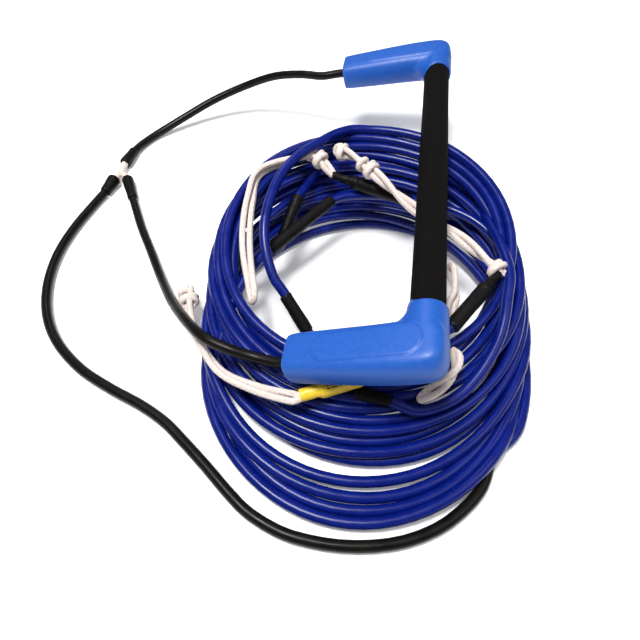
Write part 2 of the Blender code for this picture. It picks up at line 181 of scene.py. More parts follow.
# White loops: the way along their middle, and half the distance between the two strands.
LOOPS = {
    "crossing_loop": (
        (
            (0.0632, -0.0846, 0.0692),
            (0.0600, -0.0780, 0.0700),
            (0.0230, -0.0430, 0.0715),
            (-0.0120, -0.0230, 0.0760),
            (-0.0450, 0.0060, 0.0810),
            (-0.0720, 0.0300, 0.0850),
            (-0.0920, 0.0400, 0.0855),
        ),
        0.0029,
    ),
    "left_loop": (
        (
            (-0.0945, 0.0169, 0.0728),
            (-0.1015, 0.0215, 0.0775),
            (-0.1090, 0.0270, 0.0815),
            (-0.1230, 0.0295, 0.0830),
            (-0.1650, 0.0050, 0.0790),
            (-0.1690, -0.0300, 0.0730),
            (-0.1620, -0.0800, 0.0640),
            (-0.1440, -0.1330, 0.0560),
        ),
        0.0034,
    ),
    "warning_loop": (
        (
            (-0.0870, -0.2146, 0.0440),
            (-0.0930, -0.2172, 0.0435),
            (-0.1250, -0.2120, 0.0400),
            (-0.1580, -0.2000, 0.0380),
            (-0.1850, -0.1720, 0.0360),
            (-0.2060, -0.1380, 0.0270),
            (-0.2160, -0.1130, 0.0220),
        ),
        0.0034,
    ),
    "short_loop": (
        (
            (0.0245, -0.1400, 0.0580),
            (0.0250, -0.1300, 0.0585),
            (0.0260, -0.1190, 0.0590),
            (0.0290, -0.1080, 0.0600),
            (0.0280, -0.0960, 0.0620),
            (0.0250, -0.0840, 0.0630),
        ),
        0.0034,
    ),
    "tail_loop": (
        (
            (0.0270, -0.1604, 0.0535),
            (0.0310, -0.1650, 0.0535),
            (0.0320, -0.1730, 0.0525),
            (0.0290, -0.1815, 0.0505),
            (0.0210, -0.1905, 0.0475),
            (0.0090, -0.2000, 0.0430),
        ),
        0.0027,
    ),
}
# Turns per metre that a loop's two strands make about each other.
TWISTS = {
    "crossing_loop": 9.0,
    "left_loop": 3.0,
    "warning_loop": 2.0,
    "short_loop": 5.0,
    "tail_loop": 12.0,
}
# Knots that wrap a loop's two strands: the loop, the share of the way along it, and the wraps.
KNOTS = (
    ("crossing_loop", 0.03, 2),
    ("crossing_loop", 0.80, 3),
    ("crossing_loop", 0.985, 2),
    ("left_loop", 0.11, 3),
    ("warning_loop", 0.93, 3),
)

# ---- Coil: one line wound from the floor up, cut into three lengths where its sleeves join ------
TURNS = 14.4
TURN_POINTS = 72
TURN_GAP = 0.0096  # between the middles of two turns that touch
WAY_STEP = 0.006
SAME_PLACE = 1e-6
COIL_START = math.radians(-48)
RELAX_STEPS = 260
FREE_STEPS = 60  # last steps, in which turns aren't drawn back to where they started
RELAX_REACH = 3  # points either side of the one a whole number of turns on
RELAX_PUSH = 0.30
RELAX_LIFT = 0.4
RELAX_MOST = 0.0012  # the furthest that a point moves in one step
RELAX_EVEN = 0.25
RELAX_RETURN = 0.99
STRAY = 0.0024  # how far turns wander from a true ring
LOWER_JOIN = 0.09  # turns before the line from the trunk has come into the coil
LEAVES_LOWER = 5.27  # turns at which the line leaves the coil for a sleeve, or comes back from one
JOINS_MIDDLE = 5.73
LEAVES_MIDDLE = 10.12
JOINS_UPPER = 10.26
# (share of the way up, near y, near h, far y, far h, left x, right x)
FAN = (
    (0.000, -0.2950, 0.0050, 0.0250, 0.0050, -0.1800, 0.0950),
    (0.062, -0.2950, 0.0050, 0.0250, 0.0060, -0.1810, 0.0950),
    (0.110, -0.2885, 0.0050, 0.0280, 0.0200, -0.1830, 0.0955),
    (0.275, -0.2680, 0.0055, 0.0360, 0.0340, -0.1870, 0.0960),
    (0.335, -0.2480, 0.0080, 0.0400, 0.0390, -0.1880, 0.0950),
    (0.760, -0.2030, 0.0300, 0.0620, 0.0640, -0.1880, 0.0840),
    (1.000, -0.1740, 0.0380, 0.0780, 0.0860, -0.1800, 0.0700),
)
# Ways into and out of the coil's three lengths.
LOWER_HEAD = ((0.0690, -0.2270, 0.0052),)
LOWER_TAIL = (
    (0.0060, 0.0170, 0.0500),
    (-0.0450, 0.0170, 0.0530),
    (-0.0800, 0.0090, 0.0545),
    (-0.0935, 0.0, 0.0550),
)
MIDDLE_HEAD = (
    (-0.1430, -0.0700, 0.0480),
    (-0.1510, -0.0830, 0.0460),
    (-0.1620, -0.1130, 0.0410),
    (-0.1680, -0.1500, 0.0310),
)
MIDDLE_TAIL = (
    (0.0770, -0.0450, 0.0490),
    (0.0650, -0.0230, 0.0530),
    (0.0440, -0.0050, 0.0555),
    (0.0150, 0.0070, 0.0560),
    (-0.0150, 0.0100, 0.0560),
)
UPPER_HEAD = (
    (-0.0160, -0.2052, 0.0362),
    (0.0080, -0.2080, 0.0330),
    (0.0400, -0.1890, 0.0370),
    (0.0640, -0.1500, 0.0500),
    (0.0720, -0.1100, 0.0620),
    (0.0720, -0.0650, 0.0680),
)
UPPER_TAIL = (
    (-0.0950, 0.0620, 0.0912),
    (-0.1180, 0.0330, 0.0925),
    *DROP_LINE,
    (-0.1070, -0.1292, 0.0329),
    (-0.0950, -0.1400, 0.0220),
    (-0.0800, -0.1510, 0.0230),
    (-0.0540, -0.1590, 0.0360),
    (-0.0240, -0.1620, 0.0480),
    (0.0040, -0.1570, 0.0550),
    (0.0260, -0.1420, 0.0590),
)
# Where the ribbed sleeve's line leaves a turn of the coil, and where it joins one.
RIBBED_WALL = ((-0.1130, 0.0350, 0.0620), (-0.1600, -0.1050, 0.0250))
TRUNK_UNDER = ((0.0620, -0.2510, 0.0052), (0.0686, -0.2310, 0.0052))  # the trunk's way under the coil


def place(x, y, h):
    """A point of the row frame, from x and y off the bar's middle and h above the floor."""
    return Vector((BAR_X + x, y - BAR_MIDDLE, BAR_Z + h - BAR_HEIGHT))


FLOOR_Z = place(0, 0, 0).z


# ---- Camera, floor and light ------------------------------------------------------------------
def make_camera():
    bpy.context.scene.view_settings.view_transform = "Standard"
    data = bpy.data.cameras.new("camera")
    data.lens = LENS
    data.sensor_width = 36.0
    camera = bpy.data.objects.new("camera", data)
    bpy.context.scene.collection.objects.link(camera)
    camera.location = place(CAMERA_BACK.x, CAMERA_BACK.y, CAMERA_HEIGHT)
    camera.rotation_euler = (math.pi / 2 - CAMERA_PITCH, 0.0, CAMERA_TURN)
    bpy.context.scene.camera = camera


def make_stage():
    bpy.ops.mesh.primitive_plane_add(size=8.0, location=(0.0, 0.0, FLOOR_Z))
    floor = bpy.context.active_object
    floor.name = "floor"
    paint = plain("floor", (0.96, 0.96, 0.96), 0.9)
    shader = paint.node_tree.nodes["Principled BSDF"]
    shader.inputs["Emission Color"].default_value = (1.0, 1.0, 1.0, 1.0)
    shader.inputs["Emission Strength"].default_value = FLOOR_GLOW
    shader.inputs["Specular IOR Level"].default_value = 0.0
    floor.data.materials.append(paint)
    world = bpy.data.worlds.new("studio")
    bpy.context.scene.world = world
    world.use_nodes = True
    back = world.node_tree.nodes["Background"]
    back.inputs["Color"].default_value = (1.0, 1.0, 1.0, 1.0)
    back.inputs["Strength"].default_value = STUDIO_LIGHT
    for name, (where, size, power) in LAMPS.items():
        data = bpy.data.lights.new(name, "AREA")
        data.size = size
        data.energy = power
        lamp = bpy.data.objects.new(name, data)
        bpy.context.scene.collection.objects.link(lamp)
        lamp.location = where
        lamp.rotation_euler = (LAMP_TARGET - lamp.location).to_track_quat("-Z", "Y").to_euler()


# ---- Materials --------------------------------------------------------------------------------
def plain(name, colour, roughness, metallic=0.0, gloss=0.5):
    made = bpy.data.materials.new(name)
    made.use_nodes = True
    shader = made.node_tree.nodes["Principled BSDF"]
    shader.inputs["Base Color"].default_value = (*colour, 1.0)
    shader.inputs["Roughness"].default_value = roughness
    shader.inputs["Metallic"].default_value = metallic
    shader.inputs["Specular IOR Level"].default_value = gloss
    return made


def add_noise(made, scale, detail, low, high, dark, light, bump, distance):
    """Mottled colour and roughness, and a fine bump, from one noise in the object's own space."""
    tree = made.node_tree
    shader = tree.nodes["Principled BSDF"]
    coords = tree.nodes.new("ShaderNodeTexCoord")
    noise = tree.nodes.new("ShaderNodeTexNoise")
    noise.inputs["Scale"].default_value = scale
    noise.inputs["Detail"].default_value = detail
    tree.links.new(coords.outputs["Object"], noise.inputs["Vector"])
    ramp = tree.nodes.new("ShaderNodeMapRange")
    ramp.inputs["From Min"].default_value = 0.3
    ramp.inputs["From Max"].default_value = 0.7
    ramp.inputs["To Min"].default_value = low
    ramp.inputs["To Max"].default_value = high
    tree.links.new(noise.outputs["Fac"], ramp.inputs["Value"])
    tree.links.new(ramp.outputs["Result"], shader.inputs["Roughness"])
    mix = tree.nodes.new("ShaderNodeMix")
    mix.data_type = "RGBA"
    mix.inputs["A"].default_value = (*dark, 1.0)
    mix.inputs["B"].default_value = (*light, 1.0)
    tree.links.new(noise.outputs["Fac"], mix.inputs["Factor"])
    tree.links.new(mix.outputs["Result"], shader.inputs["Base Color"])
    relief = tree.nodes.new("ShaderNodeBump")
    relief.inputs["Strength"].default_value = bump
    relief.inputs["Distance"].default_value = distance
    tree.links.new(noise.outputs["Fac"], relief.inputs["Height"])
    tree.links.new(relief.outputs["Normal"], shader.inputs["Normal"])


def make_looks():
    rubber = plain("blue_rubber", (0.03, 0.2, 0.7), 0.45)
    add_noise(rubber, 260, 4, 0.40, 0.52, (0.005, 0.070, 0.36), (0.008, 0.096, 0.45), 0.06, 0.0002)
    foam = plain("black_foam", (0.004, 0.004, 0.004), 0.95, gloss=0.06)
    add_noise(foam, 1500, 3, 0.82, 0.98, (0.0015, 0.0013, 0.0013), (0.0075, 0.0065, 0.0065), 0.55, 0.0004)
    blue = plain("blue_line", (0.008, 0.03, 0.36), 0.24, gloss=0.28)
    add_noise(blue, 60, 3, 0.22, 0.34, (0.0006, 0.0055, 0.10), (0.0014, 0.011, 0.19), 0.06, 0.0003)
    black = plain("black_line", (0.012, 0.010, 0.009), 0.28, gloss=0.16)
    add_noise(black, 70, 3, 0.26, 0.40, (0.0022, 0.0018, 0.0016), (0.006, 0.005, 0.004), 0.10, 0.0003)
    shrink = plain("black_shrink", (0.014, 0.012, 0.012), 0.5, gloss=0.12)
    add_noise(shrink, 220, 4, 0.36, 0.55, (0.0022, 0.0020, 0.0020), (0.007, 0.006, 0.006), 0.22, 0.0004)
    braid = plain("white_braid", (0.8, 0.76, 0.72), 0.8)
    add_noise(braid, 420, 5, 0.70, 0.92, (0.50, 0.38, 0.32), (0.86, 0.80, 0.77), 0.45, 0.0004)
    yellow = plain("yellow_shrink", (0.83, 0.58, 0.03), 0.4)
    add_noise(yellow, 160, 4, 0.32, 0.46, (0.70, 0.46, 0.02), (0.90, 0.64, 0.04), 0.12, 0.0003)
    nylon = plain("white_nylon", (0.8, 0.8, 0.78), 0.5)
    add_noise(nylon, 300, 3, 0.45, 0.6, (0.74, 0.74, 0.72), (0.84, 0.84, 0.82), 0.08, 0.0002)
    metal = plain("bar_aluminium", (0.76, 0.77, 0.79), 0.3, metallic=1.0)
    add_noise(metal, 400, 3, 0.24, 0.40, (0.70, 0.71, 0.73), (0.82, 0.83, 0.85), 0.05, 0.0001)
    ink = plain("black_ink", (0.02, 0.02, 0.02), 0.5)
    add_noise(ink, 300, 3, 0.42, 0.58, (0.012, 0.012, 0.012), (0.03, 0.03, 0.03), 0.05, 0.0001)
    return {
        "blue_rubber": rubber,
        "black_foam": foam,
        "blue_line": blue,
        "black_line": black,
        "black_shrink": shrink,
        "white_braid": braid,
        "yellow_shrink": yellow,
        "white_nylon": nylon,
        "bar_aluminium": metal,
        "black_ink": ink,
    }


# ---- Each piece onto its body, in place of its CAD nodes --------------------------------------
def declare(piece, body, slot, *nodes):
    """Puts a piece on its body and hides the CAD nodes that it replaces; slot is not used."""
    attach(piece, body)
    if nodes:
        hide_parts(*nodes)


# ---- Swept tubes ------------------------------------------------------------------------------
SHARP_ANGLE = math.radians(42)  # faces that meet at more than this keep a crisp edge
UV_PER_METRE = 100


def smooth_route(points, spacing):
    """Points about spacing apart on a Catmull-Rom curve through the route's own points."""
    own = [Vector(p) for p in points]
    ends = [own[0] * 2 - own[1], *own, own[-1] * 2 - own[-2]]
    made = [own[0]]
    for a, b, c, d in zip(ends, ends[1:], ends[2:], ends[3:]):
        steps = max(1, round((c - b).length / spacing))
        for i in range(1, steps + 1):
            t = i / steps
            square = (2 * a - 5 * b + 4 * c - d) * t**2
            cube = (3 * b - a - 3 * c + d) * t**3
            made.append(0.5 * (2 * b + (c - a) * t + square + cube))
    return made


def route_length(points):
    """How long a route is, in metres."""
    return sum((b - a).length for a, b in zip(points, points[1:]))


def sweep(name, points, radius, look, sides=14):
    """A closed tube along points; radius is a number or a function of (metres along, angle)."""
    size = radius if callable(radius) else (lambda along, angle: radius)
    points = [Vector(p) for p in points]
    tangents = []
    for i in range(len(points)):
        tangents.append((points[min(i + 1, len(points) - 1)] - points[max(i - 1, 0)]).normalized())
    normal = tangents[0].cross(Vector((0.0, 0.0, 1.0)))
    if normal.length < 1e-3:
        normal = Vector((1.0, 0.0, 0.0))
    normal.normalize()
    bm = bmesh.new()
    uv = bm.loops.layers.uv.new("along")
    rings, along = [], 0.0
    for i, (p, t) in enumerate(zip(points, tangents)):
        if i:
            normal = (tangents[i - 1].rotation_difference(t) @ normal).normalized()
            along += (p - points[i - 1]).length
        side = t.cross(normal)
        ring = []
        for k in range(sides):
            angle = 2 * math.pi * k / sides
            away = normal * math.cos(angle) + side * math.sin(angle)
            ring.append(bm.verts.new(p + away * size(along, angle)))
        rings.append((along, ring))
    for (u0, a), (u1, b) in zip(rings, rings[1:]):
        for k in range(sides):
            j = (k + 1) % sides
            face = bm.faces.new((a[k], a[j], b[j], b[k]))
            face.smooth = True
            for loop, place_uv in zip(face.loops, ((u0, k), (u0, k + 1), (u1, k + 1), (u1, k))):
                loop[uv].uv = (place_uv[0] * UV_PER_METRE, place_uv[1] / sides)
    for ring in (rings[0][1], rings[-1][1]):
        bm.faces.new(ring)
    bmesh.ops.recalc_face_normals(bm, faces=bm.faces)
    return mesh_object(name, bm, look)


def mesh_object(name, bm, look):
    """The shaded object made from bm, which it frees."""
    mesh = bpy.data.meshes.new(name)
    bm.to_mesh(mesh)
    bm.free()
    mesh.materials.append(look)
    obj = bpy.data.objects.new(name, mesh)
    bpy.context.scene.collection.objects.link(obj)
    mesh.shade_smooth()
    mesh.set_sharp_from_angle(angle=SHARP_ANGLE)
    return obj


def ease(t):
    """0 up to t = 0, 1 from t = 1, and a smooth step between."""
    t = min(1.0, max(0.0, t))
    return t * t * (3 - 2 * t)


def settle(obj):
    """The object with its modifiers applied."""
    bpy.context.view_layer.update()
    graph = bpy.context.evaluated_depsgraph_get()
    made = bpy.data.meshes.new_from_object(obj.evaluated_get(graph))
    obj.modifiers.clear()
    obj.data = made
    return obj


# ---- Handle -----------------------------------------------------------------------------------
ELBOW_STEPS = 8
OUT_OF_MOUTH = 0.012  # a leg's straight stretch outside its cap


def hanging(side):
    """What brings a cap from the origin, lying level, to its place on the bar."""
    droop = FAR_DROOP if side > 0 else NEAR_DROOP
    return Matrix.Translation((BAR_X, 0.0, BAR_Z)) @ Matrix.Rotation(-droop, 4, "Y")


def drooped(side, point):
    return hanging(side) @ Vector(point)


def line_path(side, mouth_gap):
    """The rope's way round a level cap's elbow, ending mouth_gap short of the mouth."""
    elbow_y = LINE_SPACING / 2
    start = Vector((0.0, side * (elbow_y - ELBOW_BEND), 0.0))
    bend = []
    for step in range(1, ELBOW_STEPS + 1):
        angle = math.pi / 2 * step / ELBOW_STEPS
        y = elbow_y - ELBOW_BEND * (1 - math.sin(angle))
        bend.append(Vector((ELBOW_BEND * (math.cos(angle) - 1), side * y, 0.0)))
    mouth = Vector((-CAP_REACH, side * MOUTH_Y, 0.0))
    stop = mouth + (bend[-1] - mouth).normalized() * mouth_gap
    return [start, *bend, stop]


def leg_route(side, route):
    """From inside a cap's mouth straight out of it, and on along the route."""
    stop = line_path(side, LINE_IN_MOUTH)[-1]
    outside = line_path(side, -OUT_OF_MOUTH)[-1]
    mouth = line_path(side, 0.0)[-1]
    return [*(drooped(side, p) for p in (stop, mouth, outside)), *(place(*p) for p in route)]


# Cap sections: x from the bar axis, inner and outer edge as distances from the bar's middle, half
# thickness.
CAP_OUTLINE = (
    (0.0158, 0.1900, 0.2075, 0.0060),
    (0.0144, 0.1846, 0.2138, 0.0110),
    (0.0108, 0.1796, 0.2194, 0.0144),
    (0.0050, 0.1770, 0.2224, 0.0160),
    (-0.0040, 0.1768, 0.2236, 0.0163),
    (-0.0150, 0.1774, 0.2238, 0.0163),
    (-0.0260, 0.1780, 0.2236, 0.0162),
    (-0.0400, 0.1782, 0.2230, 0.0159),
    (-0.0560, 0.1780, 0.2218, 0.0156),
    (-0.0730, 0.1778, 0.2204, 0.0151),
    (-0.0900, 0.1777, 0.2190, 0.0147),
    (-0.1030, 0.1778, 0.2178, 0.0143),
    (-0.1080, 0.1783, 0.2170, 0.0138),
    (-0.1094, 0.1796, 0.2156, 0.0126),
)
CAP_LEAN = {-1: -0.0016, 1: 0.0008}  # how far each cap's mouth end sits outwards of straight
CAP_VOXEL = 0.0009
CAP_SHARP_ANGLE = math.radians(50)
COLLAR_SETBACK = 0.0006  # the collar starts this much after COLLAR_START
COLLAR_END = 0.2030
COLLAR_FLARE = 0.0008
TUBE_SOCKET_START = 0.1700
SOCKET_OVERRUN = 0.01  # how far a cutter goes on past the open end
FILLET_RADIUS = 0.014
FILLET_FOOT = 0.1780
FILLET_BALL = 0.0130
FILLET_BALLS = 17
# The raised panel: its middle line, its ends along x, its half width and how that changes with x.
PANEL_Y = 0.1992
PANEL_START = -0.072
PANEL_STOP = -0.012
PANEL_HALF = 0.0118
PANEL_WIDENS = 0.02
PANEL_LIFT = 0.0009
PANEL_EDGE = 0.0011
PANEL_LOWEST = 0.004  # the panel's face lies higher than this, and the cap's sides below it are left


def cap_section(bm, side, x, inner, outer, thick, filled):
    """One cross-section: a flat top and bottom, sloping shoulders and slightly bowed sides."""
    outline = (
        (0.00, 1.00), (0.34, 1.00), (0.62, 0.985), (0.78, 0.86), (0.90, 0.64), (0.975, 0.34), (1.0, 0.0),
        (0.975, -0.40), (0.88, -0.74), (0.70, -0.93), (0.40, -1.00),
    )  # fmt: skip
    half = [*outline, (0.0, -1.0)]
    loop = [*half, *((-w, t) for w, t in reversed(half[1:-1]))]
    middle, width = (inner + outer) / 2, (outer - inner) / 2
    middle += CAP_LEAN[side] * max(0.0, -x / CAP_REACH)
    made = bmesh.ops.create_circle(bm, cap_ends=filled, segments=len(loop), radius=1.0)
    for vert, (w, t) in zip(made["verts"], loop):
        vert.co = (x, side * (middle + w * width), t * thick)
    return list({edge for vert in made["verts"] for edge in vert.link_edges})


def round_bar(bm, side, start, stop, first_radius, last_radius):
    """A solid round body along the bar from start to stop."""
    middle = Matrix.Translation((0.0, side * (start + stop) / 2, 0.0))
    bmesh.ops.create_cone(
        bm,
        cap_ends=True,
        segments=48,
        radius1=first_radius,
        radius2=last_radius,
        depth=stop - start,
        matrix=middle @ Matrix.Rotation(-side * math.pi / 2, 4, "X"),
    )


def cap_body(name, side):
    """The long part of a cap, lofted through its sections and rounded."""
    bm = bmesh.new()
    ends = (CAP_OUTLINE[0], CAP_OUTLINE[-1])
    loops = [cap_section(bm, side, *section, section in ends) for section in CAP_OUTLINE]
    for a, b in zip(loops, loops[1:]):
        bmesh.ops.bridge_loops(bm, edges=a + b)
    body = mesh_object(name, bm, looks["blue_rubber"])
    smooth = body.modifiers.new("round", "SUBSURF")
    smooth.levels = smooth.render_levels = 2
    return settle(body)


def add_collar(body, side):
    """Adds the collar and the fillet up to it, and runs all of them together into one skin."""
    bm = bmesh.new()
    bm.from_mesh(body.data)
    start = COLLAR_START + COLLAR_SETBACK
    round_bar(bm, side, start, COLLAR_END, COLLAR_RADIUS, COLLAR_RADIUS + COLLAR_FLARE)
    # the fillet from the body's inner side up to the collar: balls that touch one hollow arc
    reach = FILLET_RADIUS + FILLET_BALL
    for step in range(FILLET_BALLS):
        angle = math.radians(2 + 86 * step / (FILLET_BALLS - 1))
        x = -COLLAR_RADIUS - FILLET_RADIUS + reach * math.cos(angle)
        y = FILLET_FOOT - FILLET_RADIUS + reach * math.sin(angle)
        where = Matrix.Translation((x, side * y, 0.0))
        bmesh.ops.create_uvsphere(bm, u_segments=28, v_segments=18, radius=FILLET_BALL, matrix=where)
    bm.to_mesh(body.data)
    bm.free()
    remesh = body.modifiers.new("run_together", "REMESH")
    remesh.mode = "VOXEL"
    remesh.voxel_size = CAP_VOXEL
    even = body.modifiers.new("even", "SMOOTH")
    even.factor = 0.6
    even.iterations = 9
    settle(body)


def cut_sockets(body, name, side):
    """Cuts the sockets for the grip and the tube, and the line's channel."""
    way = line_path(side, -SOCKET_OVERRUN)
    way.insert(0, way[0] - Vector((0, side * 0.006, 0)))
    grip = (COLLAR_START - SOCKET_OVERRUN, GRIP_SOCKET_END, GRIP_RADIUS + CLEARANCE)
    tube = (TUBE_SOCKET_START, TUBE_SOCKET_END, TUBE_RADIUS + CLEARANCE)
    cutters = [
        socket_cutter(name + "_grip_socket", side, *grip),
        socket_cutter(name + "_tube_socket", side, *tube),
        sweep(name + "_channel", way, CHANNEL_RADIUS, looks["blue_rubber"], 24),
    ]
    for cutter in cutters:
        cutting = body.modifiers.new(cutter.name, "BOOLEAN")
        cutting.operation = "DIFFERENCE"
        cutting.solver = "EXACT"
        cutting.object = cutter
    settle(body)
    for cutter in cutters:
        bpy.data.objects.remove(cutter)


def make_cap(name, side):
    """A moulded elbow: body, collar and raised panel, with its sockets, hung in its place."""
    body = cap_body(name, side)
    add_collar(body, side)
    add_panel(body, side)
    cut_sockets(body, name, side)
    body.data.transform(hanging(side))
    body.data.materials.clear()
    body.data.materials.append(looks["blue_rubber"])
    body.data.shade_smooth()
    body.data.set_sharp_from_angle(angle=CAP_SHARP_ANGLE)
    declare(body, "handle", "blue_rubber", name)


def add_panel(body, side):
    """Lifts the long rounded panel on the cap's top face a little, with a soft edge."""
    for vert in body.data.vertices:
        x, y, z = vert.co
        if z <= PANEL_LOWEST:
            continue
        across = abs(side * y - PANEL_Y)
        past_end = max(0.0, PANEL_START - x, x - PANEL_STOP)
        half = PANEL_HALF + PANEL_WIDENS * (x - PANEL_START)
        inside = half - math.hypot(past_end, across)
        vert.co.z += PANEL_LIFT * ease(inside / PANEL_EDGE + 0.5)


def socket_cutter(name, side, start, stop, radius):
    bm = bmesh.new()
    round_bar(bm, side, start, stop, radius, radius)
    return mesh_object(name, bm, looks["blue_rubber"])


def lathe(name, profile, look, steps=64):
    """A closed (radius, y) profile turned about the bar's axis."""
    bm = bmesh.new()
    angles = [2 * math.pi * i / steps for i in range(steps)]
    rings = []
    for r, y in profile:
        ring = [(BAR_X + r * math.cos(a), y, BAR_Z + r * math.sin(a)) for a in angles]
        rings.append([bm.verts.new(point) for point in ring])
    for a, b in zip(rings, rings[1:] + rings[:1]):
        for i in range(steps):
            j = (i + 1) % steps
            bm.faces.new((a[i], a[j], b[j], b[i]))
    bmesh.ops.recalc_face_normals(bm, faces=bm.faces)
    return mesh_object(name, bm, look)


GRIP_STEPS = 120
GRIP_WAIST = 0.00018
GRIP_EDGE = 0.0012
TUBE_EDGE = 0.0003
BUSH_LIP = 0.0016
BUSH_EDGE = 0.0008
BUSH_TAPER = 0.0003


def make_grip():
    """The foam grip, a little slimmer between its middle and its ends."""
    bore = TUBE_RADIUS + CLEARANCE
    outer = []
    for i in range(GRIP_STEPS + 1):
        y = GRIP_END * (1 - 2 * i / GRIP_STEPS)
        swell = -GRIP_WAIST * (1 - math.cos(6.3 * y / GRIP_END)) / 2
        outer.append((GRIP_RADIUS + swell, y))
    outer[0] = (GRIP_RADIUS - GRIP_EDGE, GRIP_END)
    outer[-1] = (GRIP_RADIUS - GRIP_EDGE, -GRIP_END)
    grip = lathe("grip_sleeve_foam", [*outer, (bore, -GRIP_END), (bore, GRIP_END)], looks["black_foam"])
    declare(grip, "bar", "black_foam", "grip_sleeve")


def make_tube():
    inner, ends, edge = TUBE_RADIUS - TUBE_WALL, TUBE_END, TUBE_EDGE
    profile = (
        (TUBE_RADIUS - edge, ends),
        (TUBE_RADIUS, ends - edge),
        (TUBE_RADIUS, -ends + edge),
        (TUBE_RADIUS - edge, -ends),
        (inner + edge, -ends),
        (inner, -ends + edge),
        (inner, ends - edge),
        (inner + edge, ends),
    )
    tube = lathe("bar_tube_drawn", profile, looks["bar_aluminium"])
    declare(tube, "bar", "bar_aluminium", "bar_tube")


def make_bush(name, side):
    """A flanged bush in the tube's end, with a rounded lip where the rope runs in."""
    face = side * (TUBE_END + CLEARANCE)
    top = face + side * BUSH_FLANGE
    foot = face - side * BUSH_LENGTH
    lip = []
    for step in range(6):
        angle = math.pi / 2 * step / 5
        along = side * BUSH_LIP * (1 - math.cos(angle))
        lip.append((BUSH_BORE + BUSH_LIP * (1 - math.sin(angle)), top - along))
    profile = (
        (TUBE_RADIUS - BUSH_EDGE, top),
        (TUBE_RADIUS, top - side * BUSH_EDGE),
        (TUBE_RADIUS, face),
        (BUSH_RADIUS, face),
        (BUSH_RADIUS - BUSH_TAPER, foot),
        (BUSH_BORE, foot),
        *reversed(lip),
    )
    bush = lathe(name + "_moulded", profile, looks["white_nylon"], 40)
    declare(bush, "bar", "white_nylon", name)


def braid(radius, relief=0.07, strands=8, pitch=0.011):
    """A radius function for a hollow braid: two sets of strands crossing over each other."""

    def size(along, angle):
        a = math.cos(strands / 2 * angle + 2 * math.pi * along / pitch * 2)
        b = math.cos(strands / 2 * angle - 2 * math.pi * along / pitch * 2)
        return radius * (1 - relief + relief * max(a, b))

    return size


CORE_GAP = 0.001  # between the core rope's ends and the legs'


def make_core_rope():
    far = [drooped(1, p) for p in line_path(1, LINE_IN_MOUTH + CORE_GAP)]
    near = [drooped(-1, p) for p in line_path(-1, LINE_IN_MOUTH + CORE_GAP)]
    points = smooth_route([*near[::-1], *far], 0.003)
    rope = sweep("core_rope_braid", points, braid(CORE_RADIUS), looks["white_nylon"], 12)
    declare(rope, "handle", "white_nylon", "core_rope")


# ---- Legs and trunk ---------------------------------------------------------------------------
def coated(radius, along_wave=0.012, relief=0.012):
    """A radius function for a coated rope: the core's strands just show through."""

    def size(along, angle):
        return radius * (1 - relief + relief * math.cos(3 * angle + 2 * math.pi * along / along_wave))

    return size


LEG_STEP = 0.0035


def make_legs():
    for name, side, route in (("near_leg", -1, NEAR_LEG), ("far_leg", 1, FAR_LEG)):
        points = smooth_route(leg_route(side, route), LEG_STEP)
        leg = sweep(name + "_coated", points, coated(LINE_RADIUS), looks["black_line"], 16)
        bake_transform(leg)
        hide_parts(name)


def make_trunk():
    points = smooth_route([place(*p) for p in (*TRUNK, *TRUNK_UNDER)], LEG_STEP)
    trunk = sweep("trunk_line_coated", points, coated(LINE_RADIUS), looks["black_line"], 16)
    declare(trunk, "line", "black_line", "trunk_line")


# ---- Coil -------------------------------------------------------------------------------------
def fan_at(share):
    """The FAN row at this share of the way up, linearly between its rows."""
    for a, b in zip(FAN, FAN[1:]):
        if share <= b[0]:
            t = (share - a[0]) / (b[0] - a[0])
            return [p + (q - p) * t for p, q in zip(a[1:], b[1:])]
    return list(FAN[-1][1:])


def coil_points():
    """All the turns' points, relaxed so that no turn runs through another or the floor."""
    total = round(TURNS * TURN_POINTS) + 1
    turn = np.arange(total) / TURN_POINTS
    angles = 2 * math.pi * turn + COIL_START
    there = np.ones(total)
    risen = turn.copy()
    for leaves, joins in ((LEAVES_LOWER, JOINS_MIDDLE), (LEAVES_MIDDLE, JOINS_UPPER)):
        there[(turn > leaves) & (turn < joins)] = 0.0
        risen -= np.clip(turn - leaves, 0, joins - leaves)
    rows = np.array([fan_at(r / risen[-1]) for r in risen])
    near_y, near_h, far_y, far_h, left_x, right_x = rows.T
    stray = STRAY * np.sin(2.3 * turn + 1.0) + STRAY * np.sin(angles * 2 + 1.9 * turn)
    sway = STRAY * np.sin(3.1 * turn + 0.4)
    cx, cy = (left_x + right_x) / 2 + sway, (near_y + far_y) / 2
    rx, ry = (right_x - left_x) / 2, (far_y - near_y) / 2
    side = (1 + np.sin(angles)) / 2
    x = cx + (rx + stray) * np.cos(angles)
    y = cy + (ry + stray * 0.5) * np.sin(angles)
    h = near_h + (far_h - near_h) * (side * side * (3 - 2 * side))
    under = [np.array(q) for q in smooth_route([TRUNK[-2], TRUNK[-1], *TRUNK_UNDER], 0.004)]
    return relax(np.stack([x, y, h], axis=1), there, np.array(under))


